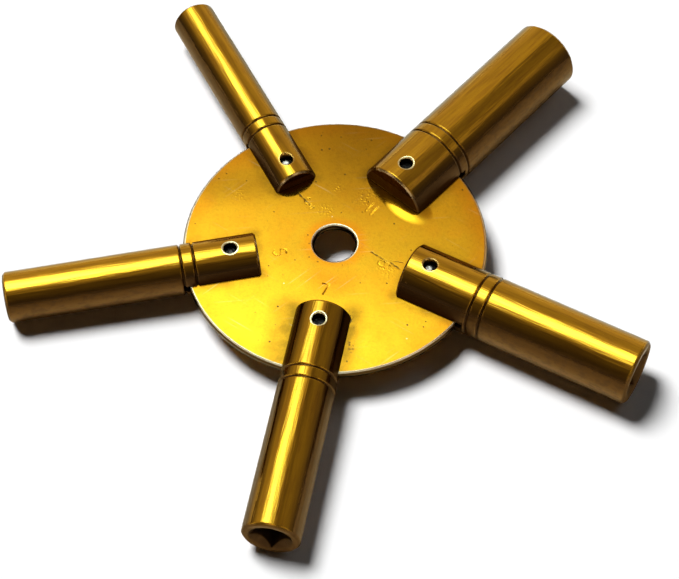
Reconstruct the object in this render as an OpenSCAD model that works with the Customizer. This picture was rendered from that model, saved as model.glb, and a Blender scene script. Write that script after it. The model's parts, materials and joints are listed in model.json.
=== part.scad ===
// Five-armed clock winding key.
// A flat brass disc carries five turned brass barrels. Each barrel is slotted over the disc's
// rim, is held there by one steel cross pin, and has a square socket in its outer end.
// Origin: centre of the disc at half its thickness. +Z is the disc's axis, and the pin of the
// middle barrel (No. 7) stands on -Y. Sizes rise counter-clockwise from No. 3 to No. 11.

/* [Disc] */
// Diameter of the disc
disc_d = 42; // [38:0.5:48]
// Thickness of the disc
disc_t = 1.2; // [0.8:0.1:2]
// Diameter of the centre hole
hole_d = 5.8; // [3:0.1:9]
// Bevel on the edges of the rim and of the centre hole
disc_bevel = 0.3; // [0.05:0.05:0.5]

/* [Cross pins] */
// Distance from the disc's rim in to a pin
pin_inset = 6.6; // [5:0.1:8]
// Diameter of a pin
pin_d = 1.8; // [1.2:0.1:2.4]
// Gap round a pin in the disc and in its barrel
pin_play = 0.01; // [0.005:0.005:0.05]
// Depth of a pin's ends below the surface of its barrel
pin_recess = 1.2; // [0.3:0.1:1.6]
// Bevel on the ends of a pin
pin_bevel = 0.15; // [0.05:0.05:0.4]
// Bevel at the mouths of a pin's hole
pin_hole_bevel = 0.2; // [0.05:0.05:0.4]

/* [All barrels] */
// Gap between the disc and each face of a slot
slot_play = 0.05; // [0.02:0.01:0.2]
// Gap between the disc's rim and the bottom of a slot
rim_play = 0.4; // [0.2:0.05:1]
// Bevel on the inner end
inner_bevel = 0.3; // [0.05:0.05:0.5]
// Bevel on the outer end
outer_bevel = 0.35; // [0.1:0.05:0.6]
// Width of a turned groove
groove_w = 0.45; // [0.2:0.05:0.8]
// Depth of a turned groove
groove_depth = 0.3; // [0.1:0.05:0.5]
// Distance between the two grooves of a barrel
groove_gap = 1.75; // [1:0.05:3]
// Depth of a square socket
socket_depth = 12; // [8:0.5:16]
// Rim of the countersink beyond the corners of the square
mouth_margin = 0.15; // [0.05:0.05:0.3]
// Depth of the drilled chip room past the square
chip_depth = 2; // [1:0.5:4]
// Step from the flats of the square in to the chip room
chip_step = 0.2; // [0.1:0.05:0.5]

/* [No. 3 barrel] */
// Outside diameter
no3_d = 6.4; // [5.8:0.1:7.6]
// Socket across its flats
no3_square = 3; // [2.6:0.05:3.3]
// Length
no3_length = 35.4; // [30:0.1:42]
// Distance from the inner end to the pin
no3_setback = 3.05; // [2:0.05:4.5]
// Distance from the inner end to the first groove
no3_groove = 9.6; // [6:0.1:14]
// Turn of the barrel about its pin, away from the disc's radius
no3_skew = -1.2; // [-5:0.1:5]

/* [No. 5 barrel] */
// Outside diameter
no5_d = 7; // [6.4:0.1:8.2]
// Socket across its flats
no5_square = 3.5; // [3.1:0.05:3.8]
// Length
no5_length = 34.8; // [30:0.1:42]
// Distance from the inner end to the pin
no5_setback = 3.7; // [2:0.05:4.5]
// Distance from the inner end to the first groove
no5_groove = 8.8; // [6:0.1:14]
// Turn of the barrel about its pin, away from the disc's radius
no5_skew = 0.2; // [-5:0.1:5]

/* [No. 7 barrel] */
// Outside diameter
no7_d = 7.7; // [7.2:0.1:9]
// Socket across its flats
no7_square = 4; // [3.6:0.05:4.3]
// Length
no7_length = 34; // [30:0.1:42]
// Distance from the inner end to the pin
no7_setback = 3.05; // [2:0.05:4.5]
// Distance from the inner end to the first groove
no7_groove = 10.3; // [6:0.1:14]
// Turn of the barrel about its pin, away from the disc's radius
no7_skew = -3.1; // [-5:0.1:5]

/* [No. 9 barrel] */
// Outside diameter
no9_d = 9; // [8:0.1:10]
// Socket across its flats
no9_square = 4.5; // [4.1:0.05:4.9]
// Length
no9_length = 33.8; // [30:0.1:42]
// Distance from the inner end to the pin
no9_setback = 3.05; // [2:0.05:4.5]
// Distance from the inner end to the first groove
no9_groove = 10.5; // [6:0.1:14]
// Turn of the barrel about its pin, away from the disc's radius
no9_skew = -2.5; // [-5:0.1:5]

/* [No. 11 barrel] */
// Outside diameter
no11_d = 10.1; // [8.8:0.1:10.8]
// Socket across its flats
no11_square = 5; // [4.6:0.05:5.4]
// Length
no11_length = 34.8; // [30:0.1:42]
// Distance from the inner end to the pin
no11_setback = 3.05; // [2:0.05:4.5]
// Distance from the inner end to the first groove
no11_groove = 9.1; // [6:0.1:14]
// Turn of the barrel about its pin, away from the disc's radius
no11_skew = 2.1; // [-5:0.1:5]

/* [Hidden] */

$fn = 96;
brass = [0.83, 0.63, 0.14];
steel = [0.62, 0.61, 0.58];

// How far a cutting shape runs past the surface that it cuts
cut_over = 1;
// A drill point's length for each unit of its radius, at 118 degrees across the point
drill_point = tan(31);

barrel_d = [no3_d, no5_d, no7_d, no9_d, no11_d];
barrel_length = [no3_length, no5_length, no7_length, no9_length, no11_length];
square = [no3_square, no5_square, no7_square, no9_square, no11_square];
setback = [no3_setback, no5_setback, no7_setback, no9_setback, no11_setback];
groove = [no3_groove, no5_groove, no7_groove, no9_groove, no11_groove];
skew = [no3_skew, no5_skew, no7_skew, no9_skew, no11_skew];

barrels = [0:len(barrel_d) - 1];
pitch = 360 / len(barrel_d);
// The middle barrel and the bearing of its pin
middle_barrel = 2;
middle_bearing = -90;
// Roll that stands a square socket on its corner
on_corner = 45;
pin_hole_r = pin_d / 2 + pin_play;
slot_w = disc_t + 2 * slot_play;
// Radius of the circle that the pins stand on
pin_circle_r = disc_d / 2 - pin_inset;
// Bottom of a slot, measured outwards from the pin
slot_end = pin_inset + rim_play;

function bearing(i) = middle_bearing + (i - middle_barrel) * pitch;

// Places children in a barrel's frame: pin on the Z axis, +X out along the barrel
module at_pin(i) {
    rotate(bearing(i))
        translate([pin_circle_r, 0, 0])
            rotate(skew[i])
                children();
}

// Turns a shape that stands on Z to lie along +X
module along_x() {
    rotate([0, 90, 0])
        children();
}

function groove_points(r, x) = [
    [r, x - groove_w / 2],
    [r - groove_depth, x],
    [r, x + groove_w / 2]
];

function barrel_profile(r, length, first_groove) = concat(
    [[0, 0], [r - inner_bevel, 0], [r, inner_bevel]],
    groove_points(r, first_groove),
    groove_points(r, first_groove + groove_gap),
    [[r, length - outer_bevel], [r - outer_bevel, length], [0, length]]
);

module turned_blank(i) {
    translate([-setback[i], 0, 0])
        along_x()
            rotate_extrude()
                polygon(barrel_profile(barrel_d[i] / 2, barrel_length[i], groove[i]));
}

// Saw cut that straddles the disc
module slot(i) {
    start = setback[i] + cut_over;
    width = barrel_d[i] + 2 * cut_over;
    translate([-start, -width / 2, -slot_w / 2])
        cube([start + slot_end, width, slot_w]);
}

module pin_hole(i) {
    r = barrel_d[i] / 2;
    cylinder(h = 2 * (r + cut_over), r = pin_hole_r, center = true);
    for (side = [0, 1])
        mirror([0, 0, side])
            translate([0, 0, r - pin_hole_bevel])
                cylinder(h = cut_over, r1 = pin_hole_r, r2 = pin_hole_r + cut_over);
}

// Square socket on its corner, with a countersunk mouth and a drilled chip room behind it
module socket(i) {
    across = square[i];
    mouth_r = across / sqrt(2) + mouth_margin;
    chip_r = across / 2 - chip_step;
    translate([barrel_length[i] - setback[i], 0, 0]) {
        rotate([on_corner, 0, 0])
            translate([-socket_depth, -across / 2, -across / 2])
                cube([socket_depth + cut_over, across, across]);
        translate([-mouth_r, 0, 0])
            along_x()
                cylinder(h = mouth_r + cut_over, r1 = 0, r2 = mouth_r + cut_over);
        translate([-socket_depth - chip_depth, 0, 0])
            along_x() {
                cylinder(h = chip_depth + cut_over, r = chip_r);
                mirror([0, 0, 1])
                    cylinder(h = chip_r * drill_point, r1 = chip_r, r2 = 0);
            }
    }
}

module barrel(i) {
    color(brass)
        at_pin(i)
            difference() {
                turned_blank(i);
                slot(i);
                pin_hole(i);
                socket(i);
            }
}

// Straight pin with bevelled ends
module pin(i) {
    r = pin_d / 2;
    half = barrel_d[i] / 2 - pin_recess;
    color(steel)
        at_pin(i)
            rotate_extrude()
                polygon([
                    [0, -half], [r - pin_bevel, -half], [r, -half + pin_bevel],
                    [r, half - pin_bevel], [r - pin_bevel, half], [0, half]
                ]);
}

module hub_disc() {
    inner = hole_d / 2;
    outer = disc_d / 2;
    top = disc_t / 2;
    side = top - disc_bevel;
    color(brass)
        difference() {
            rotate_extrude()
                polygon([
                    [inner, -side], [inner + disc_bevel, -top], [outer - disc_bevel, -top],
                    [outer, -side], [outer, side],
                    [outer - disc_bevel, top], [inner + disc_bevel, top], [inner, side]
                ]);
            for (i = barrels)
                at_pin(i)
                    cylinder(h = disc_t + 2 * cut_over, r = pin_hole_r, center = true);
        }
}

hub_disc();
barrel(0);  // barrel_no3
barrel(1);  // barrel_no5
barrel(2);  // barrel_no7
barrel(3);  // barrel_no9
barrel(4);  // barrel_no11
pin(0);  // pin_no3
pin(1);  // pin_no5
pin(2);  // pin_no7
pin(3);  // pin_no9
pin(4);  // pin_no11
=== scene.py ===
"""Looks of the five-armed clock winding key, laid out as a Blender add-on and run as a script."""

import itertools
import json
import math
from typing import NamedTuple

import bpy
from bpy.props import FloatProperty, FloatVectorProperty, PointerProperty
from mathutils import Matrix, Vector


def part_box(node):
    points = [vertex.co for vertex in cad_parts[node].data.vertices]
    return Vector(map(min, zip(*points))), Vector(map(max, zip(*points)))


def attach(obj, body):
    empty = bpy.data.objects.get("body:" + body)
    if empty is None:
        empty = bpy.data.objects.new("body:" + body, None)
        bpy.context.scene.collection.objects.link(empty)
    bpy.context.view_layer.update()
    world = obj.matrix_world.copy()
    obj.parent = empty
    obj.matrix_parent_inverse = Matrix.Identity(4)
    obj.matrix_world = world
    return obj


bl_info = {
    "name": "Clock winding key",
    "version": (1, 0, 0),
    "blender": (4, 5, 0),
    "location": "3D View > Sidebar > Clock Key",
    "description": "Finishes the brass clock winding key and sets its stage",
    "category": "Object",
}

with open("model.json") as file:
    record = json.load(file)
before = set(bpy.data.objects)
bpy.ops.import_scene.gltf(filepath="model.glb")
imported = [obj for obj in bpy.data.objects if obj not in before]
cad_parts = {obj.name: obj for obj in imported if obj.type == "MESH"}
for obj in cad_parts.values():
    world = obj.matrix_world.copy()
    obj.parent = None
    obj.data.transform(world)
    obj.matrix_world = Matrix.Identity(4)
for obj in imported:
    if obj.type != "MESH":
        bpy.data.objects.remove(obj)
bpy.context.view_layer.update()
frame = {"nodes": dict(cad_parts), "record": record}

BODY = "root"
DISC = "hub_disc"
NUMBERS = (3, 5, 7, 9, 11)
MM = 0.001
PER_MM = 1 / MM
# Tint of the brass where it is seen edge on
METAL_EDGE = (0.92, 0.88, 0.70)

# Marks on the disc's upper face, in mm from its centre
# Deep scratches and pits: start, end and half width
SCRATCHES = (
    ((-6.4, 7.9), (-3.8, 5.5), 0.24),
    ((5.2, -0.9), (8.0, -2.3), 0.22),
    ((8.0, -2.3), (9.4, -3.2), 0.26),
    ((7.4, -2.0), (9.8, -2.0), 0.12),
    ((-3.1, -2.7), (-3.0, -2.7), 0.20),
    ((-1.9, -3.3), (-1.8, -3.3), 0.20),
)
# How far the deep scratches and the rubbed patches stray from their lines, at most
STRAY = 0.25
# Directions of the fine scratches, in degrees from +X
HAIRLINES = (-27, 12, 48)
# How often the fine scratches repeat in a mm, along them and across
HAIR_ALONG = 0.1
HAIR_ACROSS = 3.2
# Grit beside the bottom barrel: start, end and half width
GRIT = ((3.8, -11.0), (4.6, -16.8), 0.6)
# Tarnished parts, and painted shade along both sides of the bottom barrel: start, end, half width and
# strength
TARNISH_AND_SHADE = (
    ((1.0, 14.0), (2.0, 22.0), 13.0, 0.6),
    ((-18.0, 7.5), (-9.0, 9.0), 4.5, 0.5),
    # The next two are painted shade along both sides of the bottom barrel
    ((-4.4, -12.0), (-4.8, -20.0), 4.2, 0.95),
    ((4.0, -11.0), (4.0, -20.0), 2.6, 0.8),
    ((-5.0, -2.0), (2.0, -6.5), 4.0, 0.2),
)
# The warm part below the hole: start, end, half width and strength
WARM_PART = ((-1.0, -6.0), (2.0, -6.0), 3.5, 0.6)
# How far in from the rim and out from the hole the sheet turns warm, and where it is warmest
WARM_AT_RIM = (3.5, 0.5)
WARM_AT_HOLE = (2.2, 0.3)
# Rubbed patches: start, end and half width
RUBBED = (
    ((3.4, 8.0), (3.5, 8.0), 2.6),
    ((-2.2, 5.4), (-2.1, 5.4), 1.6),
    ((7.6, -3.4), (7.7, -3.4), 1.8),
    ((-0.8, 9.4), (-0.7, 9.4), 1.5),
    ((-14.5, 6.5), (-14.4, 6.5), 1.6),
)
# How far the painted shade round a barrel reaches over the disc
BARREL_SHADE_REACH = 1.6
# Strength of the dirt in the deep scratches, of the painted shade on the walls of the hole and the rim,
# and of the shine of the nicks
SCRATCH_DIRT = 0.85
WALL_SHADE = 0.97
NICK_SHINE = 0.25
# How far the bright edges, worn metal with a painted highlight, reach past their bevels
BRIGHT_EDGE_REACH = 0.11
# Bearings where the painted highlight on the hole's edge and on the rim is strongest, in degrees from +X
HOLE_HIGHLIGHT_SIDE = 50
RIM_HIGHLIGHT_SIDE = 235
# The barrel whose inner end has pressed up a lip on the disc
LIPPED_BARREL = 11

# Marks on the barrels and pins, lengths in mm
# How bright the worn edge of each barrel's pin hole is, as wear with a painted highlight
HOLE_EDGE_HIGHLIGHT = {3: 0.1, 5: 0.9, 7: 0.9, 9: 0.15, 11: 0.6}
# Distances from a pin's middle between which its hole's worn edge with its painted highlight, and the
# clean ring round it, come in
PIN_MOUTH = (1.22, 1.12)
CLEAN_RING = (1.5, 1.35)
# Widths of the edge at a barrel's inner end, which carries a painted highlight, and of the dull one at
# its outer end
INNER_EDGE = 0.32
OUTER_EDGE = 0.3
# Depths below a barrel's surface between which the grime in its grooves and bores comes in
GROOVE_DEPTHS = (0.06, 0.2)
BORE_DEPTHS = (0.32, 0.6)
# Depths between which the pin hole's worn edge with its painted highlight, and the painted highlight on
# the inner end's edge, come in
MOUTH_DEPTHS = (0.30, 0.24)
INNER_DEPTHS = (0.36, 0.28)
# Heights between which a barrel's flank takes painted shade, then turns rough, then takes the
# underside's painted shade, in radii from its axis
FLANK_SHADE_HEIGHTS = (0.95, 0.6)
ROUGH_HEIGHTS = (0.68, 0.48)
UNDERSIDE_SHADE_HEIGHTS = (0.45, -0.05)
# Barrels whose pin ends are clean enough to shine
CLEAN_PINS = (3, 9)
# The bright spot on a clean pin end, from the pin's middle
PIN_SPOT = (-0.2, 0.1, 0.0)


def even(factor):
    """The same factor along all three axes."""
    return (factor, factor, factor)


class Grain(NamedTuple):
    """A kind of unevenness: how often it repeats in a mm along each axis, and its noise."""

    fineness: tuple
    detail: float
    seed: float
    roughness: float = 0.5


class Specks(NamedTuple):
    """A kind of small round spots: how often they come in a mm, their reach and their seed."""

    fineness: float
    reach: float
    seed: float


# Unevenness of the disc, in its colour and its relief
MOTTLE = Grain(even(0.42), 5.0, 2.0, 0.62)
FINE_GRAIN = Grain(even(2.6), 3.0, 7.0)
CLOUDS = Grain(even(0.17), 3.0, 21.0)
DENTS = Grain(even(3.2), 2.0, 12.0)
WAVES = Grain(even(0.13), 1.0, 6.0)
DISC_PITS = Specks(0.9, 0.17, 4.0)
NICKS = Specks(0.5, 0.09, 15.0)
# Unevenness of the barrels, first axis along them; each barrel's number is added to the seeds
STREAKS = Grain((0.13, 1.9, 1.9), 3.0, 0.0)
RINGS = Grain((5.0, 0.1, 0.1), 2.0, 0.0)
PATCHES = Grain((0.11, 0.3, 0.3), 6.0, 0.3, 0.65)
SPOTS = Grain((1.1, 1.9, 1.9), 4.0, 0.4, 0.6)
WEAR = Grain((0.22, 2.4, 2.4), 5.0, 0.8, 0.6)
BARREL_PITS = Specks(0.42, 0.07, 0.6)
# Unevenness of the pins and of the paper
FILE_MARKS = Grain((1.1, 5.0, 1.1), 2.0, 1.0)
PIN_PATCHES = Grain(even(1.6), 3.0, 9.0)
TOOTH = Grain(even(0.8), 3.0, 1.0)

# Strokes of the stamped figures, in a box one unit high with its middle at the origin
STROKES = {
    "1": [[(-0.16, 0.30), (0.04, 0.50), (0.04, -0.50)]],
    "3": [[(-0.26, 0.50), (0.26, 0.50), (-0.02, 0.12), (0.18, 0.06), (0.29, -0.12), (0.26, -0.34),
           (0.10, -0.49), (-0.10, -0.49), (-0.27, -0.36)]],
    "5": [[(0.24, 0.50), (-0.18, 0.50), (-0.22, 0.08), (0.02, 0.14), (0.22, 0.04), (0.28, -0.16),
           (0.20, -0.40), (0.00, -0.50), (-0.25, -0.40)]],
    "7": [[(-0.27, 0.50), (0.27, 0.50), (-0.06, -0.50)]],
    "9": [[(0.26, 0.20), (0.18, 0.02), (0.00, -0.06), (-0.19, 0.02), (-0.27, 0.20), (-0.19, 0.42),
           (0.00, 0.50), (0.18, 0.42), (0.26, 0.20), (0.22, -0.18), (0.04, -0.50)]],
}
# Distance between two figures of one number, in figure heights
FIGURE_STEP = 0.5


class LightPanel(NamedTuple):
    """A soft-edged pale panel of the studio, far away. Angles in degrees, azimuth from +X."""

    azimuth: float
    elevation: float
    roll: float
    half_width: float
    half_height: float
    soft_width: float
    soft_height: float
    level: float
    tint: tuple


DAYLIGHT = (0.72, 1.0, 1.25)
ROOM_LIGHT = (1.0, 0.95, 0.9)
SOFTBOX = LightPanel(133, 68, 3, 6, 18, 32, 26, 15, DAYLIGHT)
SOFTBOX_SKIRT = LightPanel(145, 63, 0, 27, 42, 30, 50, 0.56, ROOM_LIGHT)
BACK_WALL = LightPanel(87, 17, 58, 41, 33, 6, 20, 0.42, ROOM_LIGHT)
RIGHT_WALL = LightPanel(24, 42, -18, 17, 21, 24, 56, 0.3, ROOM_LIGHT)
DOOR_GAP = LightPanel(2, 40, 30, 5.5, 3.5, 13.5, 10, 0.58, ROOM_LIGHT)
FRONT_GLOW = LightPanel(-100, 48, 0, 50, 14, 30, 30, 0.08, ROOM_LIGHT)
FRONT_CARD = LightPanel(-98, 24, 0, 12, 18, 10, 14, 1.0, ROOM_LIGHT)
LEFT_CARD = LightPanel(-157, 20, 0, 8, 14, 10, 14, 1.0, ROOM_LIGHT)
RIGHT_CARD = LightPanel(-37, 24, 0, 10, 18, 10, 14, 1.0, ROOM_LIGHT)
STUDIO = (
    SOFTBOX, SOFTBOX_SKIRT, BACK_WALL, RIGHT_WALL, DOOR_GAP,
    FRONT_GLOW, FRONT_CARD, LEFT_CARD, RIGHT_CARD,
)
# Elevations between which the low wall all round fades out, in degrees
LOW_WALL = (6, 40)
# Share of the low wall's light that is left at the sides
WALL_SIDES = 0.6
# The least cosine at which a direction still counts as facing a panel
FACING = 0.05
# Half of the angle that the even light above the floor takes up, in degrees
FILL_SPREAD = 60
# Brightness of the tooth of the paper, as a share of the paper's own
TOOTH_SHADE = 0.985
# The most that a barrel may dip below the floor and still count as lying on it, in metres
TOUCH = 1e-7
# Width of the camera's sensor in mm, and the nearest that the camera sees, in metres
SENSOR_WIDTH = 36.0
NEAR_CLIP = 0.01


class Barrel(NamedTuple):
    """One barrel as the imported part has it, in metres."""

    number: int
    node: str
    pin: str
    end: Vector
    axis: Vector
    radius: float
    length: float
    # Places of the pin and of the disc's rim along the barrel, in mm from the outer end
    pin_at: float
    rim_at: float


def mount_named(name):
    return next(mount for mount in frame["record"]["mounts"] if mount["name"] == name)


def read_barrels():
    found = []
    for number in NUMBERS:
        node = f"barrel_no{number}"
        mount = mount_named(f"socket_no{number}")
        end = Vector(mount["pos_m"])
        axis = Vector(mount["axis"])
        places = [(vertex.co - end).dot(axis) for vertex in frame["nodes"][node].data.vertices]
        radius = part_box(node)[1].z
        pin = f"pin_no{number}"
        middle = sum(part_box(pin), Vector()) / 2
        pin_at = (middle - end).dot(axis) * PER_MM
        rim_at = pin_at + RIM_R - middle.length * PER_MM
        found.append(Barrel(number, node, pin, end, axis, radius, -min(places), pin_at, rim_at))
    return found


HOLE = mount_named("centre_hole")["dims"]
DISC_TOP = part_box(DISC)[1]
# Radii of the disc's rim and hole, height of its face and width of its bevels, in mm
RIM_R = DISC_TOP.x * PER_MM
HOLE_R = HOLE["r_mm"]
FACE_Z = DISC_TOP.z * PER_MM
BEVEL = FACE_Z - HOLE["length_mm"] / 2
BARRELS = read_barrels()


def colour(red, green, blue, name, description):
    """A colour property with its default."""
    return FloatVectorProperty(
        name=name, description=description, default=(red, green, blue), subtype="COLOR", min=0, max=1
    )


def length(metres, name, description):
    """A length property with its default."""
    return FloatProperty(
        name=name,
        description=description,
        default=metres,
        min=0,
        subtype="DISTANCE",
        unit="LENGTH",
        precision=5,
    )


def share(value, name, description):
    """A property from 0 to 1 with its default."""
    return FloatProperty(
        name=name, description=description, default=value, min=0, max=1, subtype="FACTOR"
    )


def angle(degrees, name, description):
    """An angle property with its default."""
    return FloatProperty(
        name=name,
        description=description,
        default=math.radians(degrees),
        subtype="ANGLE",
        unit="ROTATION",
    )


def light_level(value, name, description):
    """A light level property with its default."""
    return FloatProperty(name=name, description=description, default=value, min=0)


class DiscLooks(bpy.types.PropertyGroup):
    brass: colour(0.46, 0.205, 0.0066, "Brass", "Colour of the polished sheet")
    warm: colour(0.48, 0.155, 0.0046, "Warm tarnish", "Colour of the sheet near its edges")
    # Also the colour of the painted shade beside the bottom barrel
    tarnish: colour(0.22, 0.097, 0.0042, "Tarnish", "Colour of the dull parts of the sheet")
    # Painted shade round the barrels, where they meet the disc
    smear: colour(0.096, 0.045, 0.0032, "Smear", "Colour of the grime round the barrels")
    # Also the colour of the painted shade on the walls of the hole and the rim
    dirt: colour(0.056, 0.029, 0.0064, "Dirt", "Colour of pits and of dirt in scratches")
    # Worn metal of the edges, nicks and fine scratches, with the painted highlight on the edges
    worn: colour(0.97, 0.88, 0.58, "Worn edge", "Colour of the bright edges")
    roughness: share(0.11, "Roughness", "Roughness of the polished sheet")
    edge: length(0.25 * MM, "Edge", "Radius that the edges seem rounded to")
    figure_height: length(1.8 * MM, "Figure height", "Height of the stamped size numbers")
    figure_stroke: length(0.09 * MM, "Figure stroke", "Radius of the tool that cut the numbers")
    figure_depth: length(0.04 * MM, "Figure depth", "Depth of the stamped size numbers")
    figure_place: length(7.7 * MM, "Figure place", "Distance from the disc's centre to the numbers")
    lip: length(0.17 * MM, "Lip", "Height of the lip pressed up at the largest barrel")
    bow: length(0.76 * MM, "Bow", "Fall of the disc's shading from middle to rim along Y")
    side_bow: length(0.16 * MM, "Side bow", "Fall of the disc's shading from middle to rim along X")
    twist: length(0.57 * MM, "Twist", "Rise of the disc's shading between +X and +Y")
    lean: angle(1.94, "Lean", "Tilt of the disc's shading towards -Y")


class BarrelLooks(bpy.types.PropertyGroup):
    brass: colour(0.544, 0.267, 0.0148, "Brass", "Colour of the turned bar")
    stain: colour(0.32, 0.131, 0.0135, "Stain", "Colour of handled, tarnished patches")
    # Painted shade low on the flanks
    flank: colour(0.105, 0.048, 0.0105, "Flank", "Colour of the dark line low on the flanks")
    # Painted shade on the undersides; also the colour of the outer end faces
    under: colour(0.185, 0.090, 0.0220, "Underside", "Colour of the dull undersides")
    edge: length(0.25 * MM, "Edge", "Radius that the edges seem rounded to")
    inner_end: colour(0.15, 0.055, 0.008, "Inner end", "Colour of the sawn inner ends")
    # Also the darker painted shade on the flanks over the disc
    grime: colour(0.07, 0.034, 0.011, "Grime", "Colour of what gathers in grooves and holes")
    # Worn edges of the pin holes and the inner ends, with their painted highlight
    worn: colour(0.96, 0.80, 0.42, "Worn edge", "Colour of the bright edges of the pin holes")
    roughness: share(0.08, "Roughness", "Roughness of the turned bar")
    streaks: length(0.050 * MM, "Streaks", "Depth of the polishing streaks along a barrel")


class PinLooks(bpy.types.PropertyGroup):
    steel: colour(0.56, 0.46, 0.34, "Steel", "Colour of a clean pin end")
    grime: colour(0.012, 0.010, 0.008, "Grime", "Colour of a dirty pin end")
    roughness: share(0.32, "Roughness", "Roughness of a clean pin end")


class StageLooks(bpy.types.PropertyGroup):
    floor: colour(0.95, 0.95, 0.95, "Floor", "Colour of the paper that the key lies on")
    floor_size: length(24.0, "Floor size", "Length of a side of the floor")
    wall_level: light_level(0.33, "Wall level", "Light of the low wall all round")
    surround: colour(0.074, 0.061, 0.056, "Surround", "Colour of the dim room round the panels")
    lamp_level: light_level(1.12, "Lamp level", "Light of the lamp on the floor")
    lamp_azimuth: angle(145, "Lamp azimuth", "Bearing of the lamp, from +X")
    lamp_elevation: angle(62, "Lamp elevation", "Height of the lamp above the disc's plane")
    lamp_spread: angle(11.5, "Lamp spread", "Half of the angle that the lamp takes up")
    lamp_distance: length(4.0, "Lamp distance", "Distance from the lamp to the key")
    fill_level: light_level(0.010, "Fill level", "Even light on the floor")
    side_level: light_level(0.032, "Side level", "Light from the right on the floor")
    side_azimuth: angle(42, "Side azimuth", "Bearing of the light from the right, from +X")
    side_elevation: angle(36, "Side elevation", "Height of the light from the right")
    side_spread: angle(15, "Side spread", "Half of the angle that the light from the right takes up")
    camera_azimuth: angle(10.14, "Camera azimuth", "Turn of the camera about the disc's axis")
    camera_elevation: angle(56.762, "Camera elevation", "Height of the camera above the disc's plane")
    camera_roll: angle(-2.42, "Camera roll", "Turn of the camera about its own line of sight")
    camera_distance: length(263.65 * MM, "Camera distance", "Distance from the camera to its target")
    camera_target: FloatVectorProperty(
        name="Camera target",
        description="Point that the camera looks at",
        default=(1.667 * MM, -7.105 * MM, 0.0),
        subtype="TRANSLATION",
        unit="LENGTH",
        precision=5,
    )
    camera_lens: FloatProperty(
        name="Camera lens",
        description="Focal length",
        default=102.75,
        unit="CAMERA",
        subtype="DISTANCE_CAMERA",
    )


class ClockKeyLooks(bpy.types.PropertyGroup):
    disc: PointerProperty(type=DiscLooks, name="Disc")
    barrels: PointerProperty(type=BarrelLooks, name="Barrels")
    pins: PointerProperty(type=PinLooks, name="Pins")
    stage: PointerProperty(type=StageLooks, name="Stage")


class Graph:
    """A node tree, with short ways to add nodes and to join them."""

    def __init__(self, tree):
        self.tree = tree

    def feed(self, socket, value):
        if isinstance(value, bpy.types.NodeSocket):
            self.tree.links.new(value, socket)
        else:
            socket.default_value = value

    def add(self, kind, values=None, **settings):
        node = self.tree.nodes.new(kind)
        for name, value in settings.items():
            setattr(node, name, value)
        for name, value in (values or {}).items():
            self.feed(node.inputs[name], value)
        return node

    def calc(self, operation, first, second=0.0):
        node = self.add("ShaderNodeMath", {0: first, 1: second}, operation=operation)
        return node.outputs[0]

    def times(self, first, second):
        return self.calc("MULTIPLY", first, second)

    def plus(self, first, second):
        return self.calc("ADD", first, second)

    def minus(self, first, second):
        return self.calc("SUBTRACT", first, second)

    def rest(self, used):
        """What is left of 1."""
        return self.minus(1.0, used)

    def most(self, *values):
        """The largest of several values."""
        result = values[0]
        for value in values[1:]:
            result = self.calc("MAXIMUM", result, value)
        return result

    def parts(self, vector):
        return self.add("ShaderNodeSeparateXYZ", {0: vector}).outputs

    def vector(self, operation, first, second):
        node = self.add("ShaderNodeVectorMath", {0: first, 1: second}, operation=operation)
        return node.outputs[0]

    def scaled(self, vector, factors):
        return self.vector("MULTIPLY", vector, factors)

    def dot(self, vector, other):
        node = self.add("ShaderNodeVectorMath", {0: vector, 1: other}, operation="DOT_PRODUCT")
        return node.outputs["Value"]

    def size(self, vector):
        node = self.add("ShaderNodeVectorMath", {0: vector}, operation="LENGTH")
        return node.outputs["Value"]

    def band(self, value, start, end, low=0.0, high=1.0):
        """Goes smoothly from low, where value is start, to high, where it is end."""
        values = {"Value": value, "From Min": start, "From Max": end, "To Min": low, "To Max": high}
        node = self.add("ShaderNodeMapRange", values, interpolation_type="SMOOTHSTEP")
        return node.outputs["Result"]

    def noise(self, place, detail, seed, roughness=0.5):
        values = {"Vector": place, "W": seed, "Scale": 1.0, "Detail": detail, "Roughness": roughness}
        node = self.add("ShaderNodeTexNoise", values, noise_dimensions="4D")
        return node.outputs["Fac"]

    def uneven(self, place, grain, seed=0.0):
        """Noise of one kind, at a place in mm."""
        place = self.scaled(place, grain.fineness)
        return self.noise(place, grain.detail, seed + grain.seed, grain.roughness)

    def specks(self, place, kind, seed=0.0):
        """1 in small round spots of one kind, at a place in mm, and 0 between them."""
        values = {"Vector": self.scaled(place, even(kind.fineness)), "W": seed + kind.seed, "Scale": 1.0}
        node = self.add("ShaderNodeTexVoronoi", values, voronoi_dimensions="4D", feature="F1")
        return self.band(node.outputs["Distance"], kind.reach, 0.4 * kind.reach)

    def mix(self, share_of_second, first, second):
        node = self.add("ShaderNodeMix", data_type="RGBA")
        self.feed(node.inputs[0], share_of_second)
        self.feed(node.inputs[6], opaque(first))
        self.feed(node.inputs[7], opaque(second))
        return node.outputs[2]

    def rounded(self, radius):
        """A normal that turns smoothly round the edges."""
        return self.add("ShaderNodeBevel", {"Radius": radius}, samples=6).outputs["Normal"]

    def bump(self, height, depth, under=None):
        """A normal that rises by depth metres where height goes from 0 to 1."""
        node = self.add("ShaderNodeBump", {"Height": height, "Distance": depth, "Strength": 1.0})
        if under is not None:
            self.feed(node.inputs["Normal"], under)
        return node.outputs["Normal"]


def heading(azimuth, elevation=0.0):
    """The direction at an azimuth from +X and an elevation above level, in radians."""
    level_part = math.cos(elevation)
    return Vector((math.cos(azimuth) * level_part, math.sin(azimuth) * level_part, math.sin(elevation)))


def opaque(value):
    """A colour with its alpha, or a socket as it is."""
    if isinstance(value, bpy.types.NodeSocket):
        return value
    return (*value, 1.0)


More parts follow.
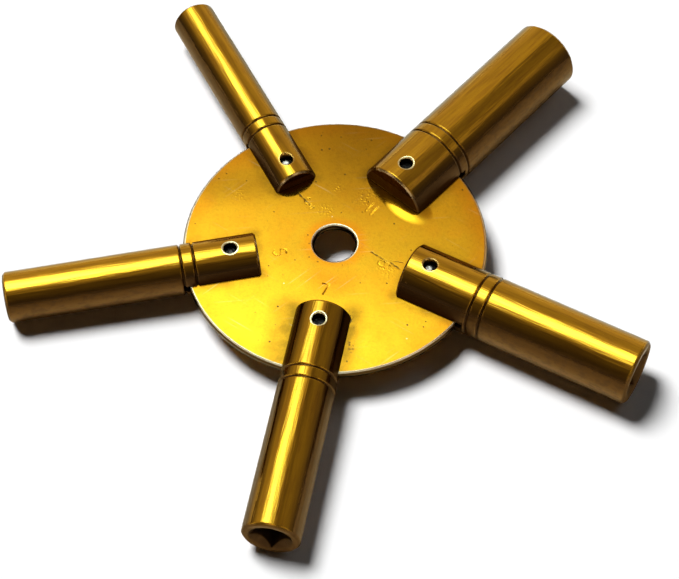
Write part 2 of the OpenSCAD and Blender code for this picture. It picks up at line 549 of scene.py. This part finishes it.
def new_finish(name, metallic):
    """A material with an empty Principled shader. Gives the material, its graph and the shader."""
    material = bpy.data.materials.new(name)
    material.use_nodes = True
    graph = Graph(material.node_tree)
    material.node_tree.nodes.clear()
    output = graph.add("ShaderNodeOutputMaterial")
    shader = graph.add("ShaderNodeBsdfPrincipled", {"Metallic": metallic})
    graph.feed(output.inputs["Surface"], shader.outputs["BSDF"])
    return material, graph, shader


def dress(node, material):
    """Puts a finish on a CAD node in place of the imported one."""
    mesh = frame["nodes"][node].data
    mesh.materials.clear()
    mesh.materials.append(material)


def millimetres(graph):
    """The row frame in millimetres."""
    place = graph.add("ShaderNodeTexCoord").outputs["Object"]
    return graph.scaled(place, even(PER_MM))


def barrel_place(graph, barrel):
    """A barrel's own frame in millimetres: X out along it from its outer end, Z up."""
    turn = math.atan2(barrel.axis.y, barrel.axis.x)
    values = {
        "Vector": graph.add("ShaderNodeTexCoord").outputs["Object"],
        "Location": barrel.end,
        "Rotation": (0.0, 0.0, turn),
        "Scale": even(MM),
    }
    return graph.add("ShaderNodeMapping", values, vector_type="TEXTURE").outputs["Vector"]


def line_between(graph, place, start, end, half_width):
    """1 on a line from start to end, falling to 0 at half_width beside it, in mm."""
    first = Vector((*start, 0.0))
    run = Vector((*end, 0.0)) - first
    from_start = graph.vector("SUBTRACT", place, first)
    way = graph.most(graph.dot(from_start, run.normalized()), 0.0)
    way = graph.calc("MINIMUM", way, run.length)
    nearest = graph.add("ShaderNodeVectorMath", {0: run.normalized(), "Scale": way}, operation="SCALE")
    gap = graph.size(graph.vector("SUBTRACT", from_start, nearest.outputs[0]))
    return graph.band(gap, half_width, 0.0)


def patch(graph, place, start, end, half_width, strength):
    """A line with soft sides that has its full strength along its middle."""
    return graph.times(line_between(graph, place, start, end, half_width), strength)


def hairlines(graph, flat, degrees):
    """1 on fine straight scratches that run at an angle from +X, 0 between them."""
    turn = math.radians(degrees)
    way = graph.times(graph.dot(flat, heading(turn)), HAIR_ALONG)
    off = graph.times(graph.dot(flat, heading(turn + math.pi / 2)), HAIR_ACROSS)
    place = graph.add("ShaderNodeCombineXYZ", {"X": way, "Y": off}).outputs[0]
    return graph.band(graph.noise(place, detail=1.0, seed=float(degrees)), 0.67, 0.77)


def pressed_lip(graph, barrel):
    """1 on the disc at the right of a barrel's inner end, falling to 0 a little way off."""
    x, y, _ = graph.parts(barrel_place(graph, barrel))
    inward = graph.minus(-barrel.length * PER_MM, x)
    aside = graph.plus(y, 0.6 * barrel.radius * PER_MM)
    reach = graph.add("ShaderNodeCombineXYZ", {"X": inward, "Y": aside}).outputs[0]
    return graph.band(graph.size(graph.scaled(reach, (0.55, 0.31, 0.0))), 1.3, 0.2)


def barrel_smear(graph, barrel):
    """Painted shade on the disc: 1 at a barrel's flanks and inner end, falling to 0 a little way off."""
    x, y, _ = graph.parts(barrel_place(graph, barrel))
    inward = graph.minus(-barrel.length * PER_MM, x)
    aside = graph.minus(graph.calc("ABSOLUTE", y), barrel.radius * PER_MM)
    apart = graph.add("ShaderNodeCombineXYZ", {"X": inward, "Y": aside}).outputs[0]
    clear = graph.vector("MAXIMUM", apart, even(0.0))
    return graph.band(graph.size(clear), BARREL_SHADE_REACH, 0.0)


def disc_bow(graph, looks, flat):
    """Height of the disc's face in mm: bowed, leaning along Y, and a little twisted."""
    x, y, _ = graph.parts(flat)
    to_rim = PER_MM / RIM_R ** 2
    fall = graph.times(y, -looks.bow * to_rim)
    rise = graph.times(x, looks.twist * to_rim)
    slope = graph.plus(graph.plus(fall, rise), math.tan(looks.lean))
    sideways = graph.times(graph.times(x, x), -looks.side_bow * to_rim)
    return graph.plus(graph.times(y, slope), sideways)


class DiscFace(NamedTuple):
    """What the marks on the disc are drawn from: places in mm, and coarse and fine unevenness."""

    place: bpy.types.NodeSocket
    flat: bpy.types.NodeSocket
    # A place that strays a little, so that lines drawn from it waver
    shaken: bpy.types.NodeSocket
    # Distance from the disc's axis
    reach: bpy.types.NodeSocket
    mottle: bpy.types.NodeSocket
    grain: bpy.types.NodeSocket


def disc_face(graph):
    place = millimetres(graph)
    flat = graph.scaled(place, (1.0, 1.0, 0.0))
    wander = graph.add("ShaderNodeTexNoise", {"Vector": flat, "Scale": 0.9, "Detail": 2.0})
    stray = graph.scaled(wander.outputs["Color"], (2 * STRAY, 2 * STRAY, 0.0))
    shaken = graph.vector("ADD", flat, stray)
    return DiscFace(
        place=place,
        flat=flat,
        shaken=graph.vector("SUBTRACT", shaken, (STRAY, STRAY, 0.0)),
        reach=graph.size(flat),
        mottle=graph.uneven(place, MOTTLE),
        grain=graph.uneven(place, FINE_GRAIN),
    )


def sheet_colour(graph, looks, face):
    """Brass that is warm near the rim and the hole, tarnished in parts, with painted shade beside the
    barrels.
    """
    clouds = graph.uneven(face.place, CLOUDS)
    rim = graph.band(face.reach, *[RIM_R - inward for inward in WARM_AT_RIM], high=0.45)
    hole = graph.band(face.reach, *[HOLE_R + outward for outward in WARM_AT_HOLE], high=0.9)
    warmth = graph.most(rim, hole, patch(graph, face.flat, *WARM_PART))
    warmth = graph.plus(warmth, graph.band(face.mottle, 0.45, 0.68, high=0.3))
    warmth = graph.plus(warmth, graph.band(clouds, 0.45, 0.65, high=0.2))
    sheet = graph.mix(graph.calc("MINIMUM", warmth, 1.0), looks.brass, looks.warm)

    # Tarnish, and painted shade along both sides of the bottom barrel
    dull = graph.most(*[patch(graph, face.flat, *part) for part in TARNISH_AND_SHADE])
    dull = graph.times(dull, graph.band(face.mottle, 0.3, 0.7, 0.75, 1.25))
    sheet = graph.mix(dull, sheet, looks.tarnish)

    # Painted shade round the barrels
    barrel_shades = graph.most(*[barrel_smear(graph, barrel) for barrel in BARRELS])
    barrel_shades = graph.times(barrel_shades, graph.band(face.mottle, 0.3, 0.65, 0.1, 0.55))
    return graph.mix(barrel_shades, sheet, looks.smear)


def deep_scratches(graph, face):
    deep = graph.most(*[line_between(graph, face.shaken, *cut) for cut in SCRATCHES])
    return graph.times(deep, graph.band(face.grain, 0.3, 0.6, 0.3, 1.0))


def disc_dirt(graph, face, deep, pits, walls):
    """Dirt in the pits, the deep scratches and the grit, and thinly all over, with painted shade on the
    walls of the hole and the rim.
    """
    grit = graph.times(line_between(graph, face.flat, *GRIT), graph.band(face.grain, 0.52, 0.6))
    dirt = graph.most(pits, grit, graph.times(deep, SCRATCH_DIRT))
    dirt = graph.plus(dirt, graph.band(face.grain, 0.45, 0.75, high=0.12))
    # Painted shade on the walls of the hole and the rim
    dirt = graph.most(dirt, graph.times(walls, WALL_SHADE))
    return graph.calc("MINIMUM", dirt, 1.0)


def disc_edges(graph, face):
    """How bright the edges of the hole and of the rim are, as worn metal with a painted highlight that
    is strongest towards one side, and where the walls below them are.
    """
    hole = graph.band(face.reach, HOLE_R + BEVEL + BRIGHT_EDGE_REACH, HOLE_R + BEVEL)
    rim = graph.band(face.reach, RIM_R - BEVEL - BRIGHT_EDGE_REACH, RIM_R - BEVEL)
    outward = graph.vector("NORMALIZE", face.flat, even(0.0))
    towards_hole_side = graph.dot(outward, heading(math.radians(HOLE_HIGHLIGHT_SIDE)))
    towards_rim_side = graph.dot(outward, heading(math.radians(RIM_HIGHLIGHT_SIDE)))
    # Painted highlight on the edges, strongest towards one bearing
    hole_highlight = graph.band(towards_hole_side, -1.0, 0.3, 0.3, 0.9)
    rim_highlight = graph.band(towards_rim_side, -0.6, 0.8, 0.2, 0.8)
    shine = graph.most(graph.times(hole, hole_highlight), graph.times(rim, rim_highlight))
    depth = graph.minus(FACE_Z, graph.calc("ABSOLUTE", graph.parts(face.place)["Z"]))
    walls = graph.times(graph.most(hole, rim), graph.band(depth, 0.35 * BEVEL, 0.65 * BEVEL))
    return graph.times(shine, graph.rest(walls)), walls


def bare_metal(graph, face, shine):
    """Bright metal in small nicks and in the fine scratches, and on the edges, where the wear carries a
    painted highlight.
    """
    nicks = graph.specks(face.place, NICKS)
    hairs = graph.most(*[hairlines(graph, face.flat, degrees) for degrees in HAIRLINES])
    hairs = graph.times(hairs, graph.band(face.mottle, 0.4, 0.6, 0.02, 0.07))
    return graph.most(shine, graph.times(nicks, NICK_SHINE), hairs)


def disc_relief(graph, looks, face, cuts):
    """A normal with the disc's bow, waves, grain, dents, cuts and pressed-up lip."""
    rubs = [line_between(graph, face.shaken, *rub) for rub in RUBBED]
    dents = graph.band(graph.uneven(face.place, DENTS), 0.5, 0.7)
    dents = graph.times(dents, graph.most(*rubs))
    barrel = next(barrel for barrel in BARRELS if barrel.number == LIPPED_BARREL)
    layers = (
        (disc_bow(graph, looks, face.flat), MM),
        (graph.uneven(face.place, WAVES), 0.02 * MM),
        (face.grain, 0.002 * MM),
        (dents, 0.008 * MM),
        (graph.times(cuts, -1.0), 0.005 * MM),
        (pressed_lip(graph, barrel), looks.lip),
    )
    normal = graph.rounded(looks.edge)
    for height, depth in layers:
        normal = graph.bump(height, depth, normal)
    return normal


def disc_finish(looks):
    """Polished sheet brass: warmer near its edges, mottled, pitted and lightly scratched, with painted
    shade round the barrels and on its walls and painted highlights on its edges.
    """
    material, graph, shader = new_finish("polished_sheet_brass", metallic=1.0)
    shader.inputs["Specular Tint"].default_value = opaque(METAL_EDGE)
    face = disc_face(graph)
    deep = deep_scratches(graph, face)
    pits = graph.specks(face.place, DISC_PITS)
    shine, walls = disc_edges(graph, face)
    bare_and_highlight = bare_metal(graph, face, shine)

    dirt = disc_dirt(graph, face, deep, pits, walls)
    sheet = graph.mix(dirt, sheet_colour(graph, looks, face), looks.dirt)
    graph.feed(shader.inputs["Base Color"], graph.mix(bare_and_highlight, sheet, looks.worn))
    rough = graph.band(face.mottle, 0.3, 0.7, looks.roughness - 0.02, looks.roughness + 0.05)
    graph.feed(shader.inputs["Roughness"], graph.plus(rough, graph.times(bare_and_highlight, 0.3)))
    graph.feed(shader.inputs["Normal"], disc_relief(graph, looks, face, graph.most(deep, pits)))
    return material


class BarrelZones(NamedTuple):
    """Parts of a barrel's surface: each goes from 0 outside to its own strength inside."""

    # Painted shade on the flanks
    dark: bpy.types.NodeSocket
    rough: bpy.types.NodeSocket
    # Painted shade on the underside
    dull: bpy.types.NodeSocket
    # Darker painted shade on the flanks over the disc
    over_disc: bpy.types.NodeSocket
    end_face: bpy.types.NodeSocket
    inner_end: bpy.types.NodeSocket
    grime: bpy.types.NodeSocket
    # Worn edges with a painted highlight
    shine: bpy.types.NodeSocket


def barrel_zones(graph, barrel, place):
    along, _, height = graph.parts(place)
    radius = barrel.radius * PER_MM
    inner = -barrel.length * PER_MM
    below = graph.minus(radius, graph.size(graph.scaled(place, (0.0, 1.0, 1.0))))
    flat = graph.scaled(place, (1.0, 1.0, 0.0))
    pin_gap = graph.size(graph.vector("SUBTRACT", flat, (barrel.pin_at, 0.0, 0.0)))
    end_face = graph.band(along, -OUTER_EDGE, -0.05, high=0.9)
    inner_end = graph.band(along, inner + INNER_EDGE, inner + 0.1)

    near_pin = graph.band(pin_gap, *CLEAN_RING)
    grooves = graph.times(graph.band(below, *GROOVE_DEPTHS, high=0.9), graph.rest(near_pin))
    bores = graph.band(below, *BORE_DEPTHS, high=0.9)
    grime = graph.most(graph.times(grooves, graph.rest(inner_end)), bores)
    ends = graph.most(graph.times(end_face, 0.6), graph.times(inner_end, 0.65))

    # Worn edge of the pin hole with a painted highlight, stronger on some barrels
    mouth = graph.times(graph.band(pin_gap, *PIN_MOUTH), graph.band(below, *MOUTH_DEPTHS))
    mouth = graph.times(mouth, HOLE_EDGE_HIGHLIGHT[barrel.number])
    # Painted highlight on the edge of the inner end
    inner_edge_highlight = graph.times(inner_end, graph.band(below, *INNER_DEPTHS, high=0.25))
    return BarrelZones(
        # Painted shade on the flanks and the underside, and darker painted shade over the disc
        dark=graph.band(height, *[radius * part for part in FLANK_SHADE_HEIGHTS]),
        rough=graph.band(height, *[radius * part for part in ROUGH_HEIGHTS]),
        dull=graph.band(height, *[radius * part for part in UNDERSIDE_SHADE_HEIGHTS]),
        over_disc=graph.band(along, barrel.rim_at + 0.3, barrel.rim_at - 0.3, high=0.75),
        end_face=end_face,
        inner_end=inner_end,
        grime=graph.times(grime, graph.rest(ends)),
        shine=graph.most(mouth, inner_edge_highlight),
    )


def bar_colour(graph, looks, zones, handled, spots, pits):
    """Brass, stained where it is handled, with painted shade on its flanks, underside and over the disc,
    grimy in its grooves and holes, and with a painted highlight on its worn edges.
    """
    bar = graph.mix(handled, looks.brass, looks.stain)
    # Painted shade on the flanks and the underside, darker over the disc
    flanks = graph.mix(zones.dull, looks.flank, looks.under)
    flanks = graph.mix(zones.over_disc, flanks, looks.grime)
    flanks = graph.mix(spots, flanks, looks.grime)
    bar = graph.mix(zones.dark, bar, flanks)
    bar = graph.mix(graph.times(zones.inner_end, 0.85), bar, looks.inner_end)
    bar = graph.mix(zones.end_face, bar, looks.under)
    bar = graph.mix(graph.most(zones.grime, pits), bar, looks.grime)
    # Worn edges with a painted highlight
    return graph.mix(zones.shine, bar, looks.worn)


def barrel_finish(looks, barrel):
    """Turned brass bar: streaked along, stained by handling, grimy in its grooves and holes, with
    painted shade on its flanks and underside and painted highlights on its edges.
    """
    material, graph, shader = new_finish(f"turned_brass_no{barrel.number}", metallic=1.0)
    shader.inputs["Specular Tint"].default_value = opaque(METAL_EDGE)
    place = barrel_place(graph, barrel)
    zones = barrel_zones(graph, barrel, place)
    seed = float(barrel.number)

    streaks = graph.uneven(place, STREAKS, seed)
    rings = graph.uneven(place, RINGS, seed)
    stain = graph.band(graph.uneven(place, PATCHES, seed), 0.52, 0.75)
    spots = graph.band(graph.uneven(place, SPOTS, seed), 0.45, 0.62, high=0.55)
    wear = graph.band(graph.uneven(place, WEAR, seed), 0.35, 0.75, high=0.6)
    pits = graph.specks(place, BARREL_PITS, seed)
    handled = graph.plus(graph.times(stain, 0.45), wear)
    graph.feed(shader.inputs["Base Color"], bar_colour(graph, looks, zones, handled, spots, pits))

    rough = graph.band(streaks, 0.3, 0.7, looks.roughness - 0.02, looks.roughness + 0.03)
    rougher = (
        (stain, 0.07),
        (zones.rough, 0.30),
        (zones.end_face, 0.25),
        (zones.grime, 0.15),
        (zones.shine, 0.3),
    )
    for cover, more in rougher:
        rough = graph.plus(rough, graph.times(cover, more))
    graph.feed(shader.inputs["Roughness"], rough)

    normal = graph.bump(streaks, looks.streaks, graph.rounded(looks.edge))
    normal = graph.bump(rings, 0.05 * looks.streaks, normal)
    normal = graph.bump(graph.times(pits, -1.0), 0.02 * MM, normal)
    graph.feed(shader.inputs["Normal"], normal)
    return material


def pin_finish(looks, barrel):
    """Steel wire with a filed end, clean or clogged with dirt."""
    material, graph, shader = new_finish(f"pin_steel_no{barrel.number}", metallic=1.0)
    place = millimetres(graph)
    file_marks = graph.uneven(place, FILE_MARKS)
    patches = graph.uneven(place, PIN_PATCHES)
    dirt = graph.band(patches, 0.2, 0.5, 0.85, 1.0)
    if barrel.number in CLEAN_PINS:
        low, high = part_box(barrel.pin)
        spot = (low + high) / 2 * PER_MM + Vector(PIN_SPOT)
        gap = graph.size(graph.scaled(graph.vector("SUBTRACT", place, spot), (1.0, 1.0, 0.0)))
        dirt = graph.times(dirt, graph.band(gap, 0.25, 0.55))
    graph.feed(shader.inputs["Base Color"], graph.mix(dirt, looks.steel, looks.grime))
    rough = graph.band(patches, 0.3, 0.7, looks.roughness - 0.05, looks.roughness + 0.2)
    graph.feed(shader.inputs["Roughness"], rough)
    normal = graph.bump(patches, 0.12 * MM)
    graph.feed(shader.inputs["Normal"], graph.bump(file_marks, 0.015 * MM, normal))
    return material


def figure_tool(looks, number):
    """A hidden round-nosed cutter in the shape of a number, lying on the disc's upper face."""
    curve = bpy.data.curves.new(f"figure_tool_{number}", "CURVE")
    curve.dimensions = "3D"
    curve.bevel_depth = looks.figure_stroke
    curve.bevel_resolution = 2
    curve.use_fill_caps = True
    text = str(number)
    for at, figure in enumerate(text):
        shift = (at - (len(text) - 1) / 2) * FIGURE_STEP
        for stroke in STROKES[figure]:
            spline = curve.splines.new("POLY")
            spline.points.add(len(stroke) - 1)
            for point, (x, y) in zip(spline.points, stroke):
                point.co = ((x + shift) * looks.figure_height, y * looks.figure_height, 0.0, 1.0)
    drawn = bpy.data.objects.new(curve.name, curve)
    bpy.context.scene.collection.objects.link(drawn)
    bpy.context.view_layer.update()
    solid = bpy.data.meshes.new_from_object(drawn.evaluated_get(bpy.context.evaluated_depsgraph_get()))
    bpy.data.objects.remove(drawn)
    tool = bpy.data.objects.new(f"figure_cutter_{number}", solid)
    bpy.context.scene.collection.objects.link(tool)
    tool.hide_render = True
    tool.hide_viewport = True
    return tool


def lay_on_disc(tool, barrel, looks):
    """Puts a number on the disc's upper face in line with its barrel, its foot towards the barrel."""
    turn = math.atan2(barrel.end.y, barrel.end.x)
    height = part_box(DISC)[1].z + looks.figure_stroke - looks.figure_depth
    place = Matrix.Rotation(turn, 4, "Z") @ Matrix.Translation((looks.figure_place, 0.0, height))
    tool.matrix_world = place @ Matrix.Rotation(math.pi / 2, 4, "Z")
    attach(tool, BODY)


def stamp(tool):
    """Cuts a tool's shape out of the disc as it is shown."""
    cut = frame["nodes"][DISC].modifiers.new(tool.name, "BOOLEAN")
    cut.operation = "DIFFERENCE"
    cut.solver = "EXACT"
    cut.use_self = True
    cut.object = tool


def resting_plane():
    """A point and the normal of the surface that the key lies on, under three of its barrel ends."""
    feet = []
    for barrel in BARRELS:
        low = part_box(barrel.node)[0].z
        feet.append(Vector((barrel.end.x, barrel.end.y, low)))
    for chosen in itertools.combinations(feet, 3):
        a, b, c = chosen
        normal = (b - a).cross(c - a).normalized()
        if normal.z < 0:
            normal = -normal
        clear = all((foot - a).dot(normal) > -TOUCH for foot in feet)
        turns = [(q - p).cross(-p).z > 0 for p, q in ((a, b), (b, c), (c, a))]
        if clear and (all(turns) or not any(turns)):
            return a, normal
    raise RuntimeError("no three barrel ends carry the key")


def paper_finish(looks):
    """Plain pale paper with a faint tooth."""
    material, graph, shader = new_finish("pale_paper", metallic=0.0)
    tooth = graph.uneven(millimetres(graph), TOOTH)
    shade = tuple(TOOTH_SHADE * part for part in looks.floor)
    graph.feed(shader.inputs["Base Color"], graph.mix(tooth, looks.floor, shade))
    shader.inputs["Roughness"].default_value = 0.9
    shader.inputs["Specular IOR Level"].default_value = 0.1
    graph.feed(shader.inputs["Normal"], graph.bump(tooth, 0.01 * MM))
    return material


def lay_floor(looks):
    point, normal = resting_plane()
    half = looks.floor_size / 2
    mesh = bpy.data.meshes.new("paper_floor")
    corners = [(-half, -half, 0.0), (half, -half, 0.0), (half, half, 0.0), (-half, half, 0.0)]
    mesh.from_pydata(corners, [], [(0, 1, 2, 3)])
    mesh.materials.append(paper_finish(looks))
    floor = bpy.data.objects.new("paper_floor", mesh)
    bpy.context.scene.collection.objects.link(floor)
    foot = normal * point.dot(normal)
    floor.matrix_world = Matrix.Translation(foot) @ normal.to_track_quat("Z", "Y").to_matrix().to_4x4()


def panel_glow(graph, direction, panel):
    """A panel's light in a direction, from its level in the middle to 0 past its soft edges."""
    around, rise, roll = (math.radians(part) for part in (panel.azimuth, panel.elevation, panel.roll))
    facing = heading(around, rise)
    level_side = heading(around + math.pi / 2)
    level_top = facing.cross(level_side)
    side = level_side * math.cos(roll) + level_top * math.sin(roll)
    top = level_top * math.cos(roll) - level_side * math.sin(roll)
    ahead = graph.dot(direction, facing)
    glow = graph.times(graph.calc("GREATER_THAN", ahead, FACING), panel.level)
    depth = graph.most(ahead, FACING)
    edges = ((side, panel.half_width, panel.soft_width), (top, panel.half_height, panel.soft_height))
    for across, half, soft in edges:
        off = graph.calc("DIVIDE", graph.calc("ABSOLUTE", graph.dot(direction, across)), depth)
        middle = math.tan(math.radians(half))
        spread = math.tan(math.radians(soft)) / 2
        glow = graph.times(glow, graph.band(off, middle + spread, middle - spread))
    return glow


def wall_glow(graph, direction, level):
    """Light of the low wall all round: fades out upwards and is weaker at the sides."""
    foot, top = (math.sin(math.radians(part)) for part in LOW_WALL)
    _, ahead, rise = graph.parts(direction)
    low = graph.band(rise, top, foot, high=level)
    return graph.times(low, graph.band(graph.calc("ABSOLUTE", ahead), 0.6, 0.9, low=WALL_SIDES))


def hang_lamp(name, level, azimuth, elevation, spread, distance):
    """A round lamp that lights the floor to a level and that the metal doesn't mirror."""
    data = bpy.data.lights.new(name, "AREA")
    data.shape = "DISK"
    data.size = 2 * distance * math.tan(spread)
    data.energy = level * (math.pi * distance) ** 2 / math.sin(elevation)
    lamp = bpy.data.objects.new(name, data)
    bpy.context.scene.collection.objects.link(lamp)
    towards = heading(azimuth, elevation)
    turned = towards.to_track_quat("Z", "Y").to_matrix().to_4x4()
    lamp.matrix_world = Matrix.Translation(towards * distance) @ turned
    lamp.visible_glossy = False


def light_floor(looks):
    """One lamp for the shadows, a weak one at the right and an even light over all the floor."""
    where = (looks.lamp_azimuth, looks.lamp_elevation, looks.lamp_spread, looks.lamp_distance)
    hang_lamp("shadow_lamp", looks.lamp_level, *where)
    beside = (looks.side_azimuth, looks.side_elevation, looks.side_spread, looks.lamp_distance)
    hang_lamp("side_lamp", looks.side_level, *beside)
    above = (0.0, math.pi / 2, math.radians(FILL_SPREAD), looks.lamp_distance)
    hang_lamp("fill_lamp", looks.fill_level, *above)


def light_studio(looks):
    """What the metal mirrors: a dim room, a softbox above, pale walls, cards in front and a low wall."""
    world = bpy.data.worlds.new("studio")
    world.use_nodes = True
    world.cycles_visibility.diffuse = False
    bpy.context.scene.world = world
    graph = Graph(world.node_tree)
    world.node_tree.nodes.clear()
    direction = graph.add("ShaderNodeTexCoord").outputs["Generated"]
    glows = [(looks.surround, 1.0)]
    glows += [(panel.tint, panel_glow(graph, direction, panel)) for panel in STUDIO]
    glows += [(ROOM_LIGHT, wall_glow(graph, direction, looks.wall_level))]
    lights = []
    for tint, glow in glows:
        shown = graph.add("ShaderNodeBackground", {"Color": opaque(tint), "Strength": glow})
        lights.append(shown.outputs[0])
    light = lights[0]
    for more in lights[1:]:
        light = graph.add("ShaderNodeAddShader", {0: light, 1: more}).outputs[0]
    output = graph.add("ShaderNodeOutputWorld")
    graph.feed(output.inputs["Surface"], light)


def place_camera(looks):
    back = heading(looks.camera_azimuth - math.pi / 2, looks.camera_elevation)
    right = heading(looks.camera_azimuth)
    up = back.cross(right)
    roll = looks.camera_roll
    turned_right = right * math.cos(roll) + up * math.sin(roll)
    turned_up = up * math.cos(roll) - right * math.sin(roll)
    data = bpy.data.cameras.new("camera")
    data.sensor_width = SENSOR_WIDTH
    data.lens = looks.camera_lens
    data.clip_start = NEAR_CLIP
    camera = bpy.data.objects.new("camera", data)
    bpy.context.scene.collection.objects.link(camera)
    axes = Matrix((turned_right, turned_up, back)).transposed().to_4x4()
    where = Vector(looks.camera_target) + back * looks.camera_distance
    camera.matrix_world = Matrix.Translation(where) @ axes
    bpy.context.scene.camera = camera


class CLOCKKEY_OT_dress_disc(bpy.types.Operator):
    """Finish the disc as polished sheet brass"""

    bl_idname = "clock_key.dress_disc"
    bl_label = "Dress disc"

    def execute(self, context):
        dress(DISC, disc_finish(context.scene.clock_key.disc))
        return {"FINISHED"}


class CLOCKKEY_OT_stamp_numbers(bpy.types.Operator):
    """Stamp the size numbers into the disc beside their barrels"""

    bl_idname = "clock_key.stamp_numbers"
    bl_label = "Stamp numbers"

    def execute(self, context):
        looks = context.scene.clock_key.disc
        for barrel in BARRELS:
            tool = figure_tool(looks, barrel.number)
            lay_on_disc(tool, barrel, looks)
            stamp(tool)
        return {"FINISHED"}


class CLOCKKEY_OT_dress_barrels(bpy.types.Operator):
    """Finish the five barrels as turned brass bar"""

    bl_idname = "clock_key.dress_barrels"
    bl_label = "Dress barrels"

    def execute(self, context):
        for barrel in BARRELS:
            dress(barrel.node, barrel_finish(context.scene.clock_key.barrels, barrel))
        return {"FINISHED"}


class CLOCKKEY_OT_dress_pins(bpy.types.Operator):
    """Finish the five cross pins as steel wire"""

    bl_idname = "clock_key.dress_pins"
    bl_label = "Dress pins"

    def execute(self, context):
        for barrel in BARRELS:
            dress(barrel.pin, pin_finish(context.scene.clock_key.pins, barrel))
        return {"FINISHED"}


class CLOCKKEY_OT_set_stage(bpy.types.Operator):
    """Lay the floor, light the studio and place the camera"""

    bl_idname = "clock_key.set_stage"
    bl_label = "Set stage"

    def execute(self, context):
        looks = context.scene.clock_key.stage
        lay_floor(looks)
        light_floor(looks)
        light_studio(looks)
        place_camera(looks)
        context.scene.view_settings.view_transform = "Standard"
        return {"FINISHED"}


class CLOCKKEY_PT_sidebar(bpy.types.Panel):
    """Lists the key's operators and looks"""

    bl_idname = "CLOCKKEY_PT_sidebar"
    bl_label = "Clock Key"
    bl_space_type = "VIEW_3D"
    bl_region_type = "UI"
    bl_category = "Clock Key"

    def draw(self, context):
        looks = context.scene.clock_key
        rows = (
            (looks.disc, (CLOCKKEY_OT_dress_disc, CLOCKKEY_OT_stamp_numbers)),
            (looks.barrels, (CLOCKKEY_OT_dress_barrels,)),
            (looks.pins, (CLOCKKEY_OT_dress_pins,)),
            (looks.stage, (CLOCKKEY_OT_set_stage,)),
        )
        for group, operators in rows:
            box = self.layout.box()
            for name in group.__annotations__:
                box.prop(group, name)
            for operator in operators:
                box.operator(operator.bl_idname)


CLASSES = (
    DiscLooks,
    BarrelLooks,
    PinLooks,
    StageLooks,
    ClockKeyLooks,
    CLOCKKEY_OT_dress_disc,
    CLOCKKEY_OT_stamp_numbers,
    CLOCKKEY_OT_dress_barrels,
    CLOCKKEY_OT_dress_pins,
    CLOCKKEY_OT_set_stage,
    CLOCKKEY_PT_sidebar,
)


def register():
    for made in CLASSES:
        bpy.utils.register_class(made)
    bpy.types.Scene.clock_key = PointerProperty(type=ClockKeyLooks)


def unregister():
    del bpy.types.Scene.clock_key
    for made in reversed(CLASSES):
        bpy.utils.unregister_class(made)


def main():
    register()
    bpy.ops.clock_key.dress_disc()
    bpy.ops.clock_key.stamp_numbers()
    bpy.ops.clock_key.dress_barrels()
    bpy.ops.clock_key.dress_pins()
    bpy.ops.clock_key.set_stage()


if __name__ == "__main__":
    main()
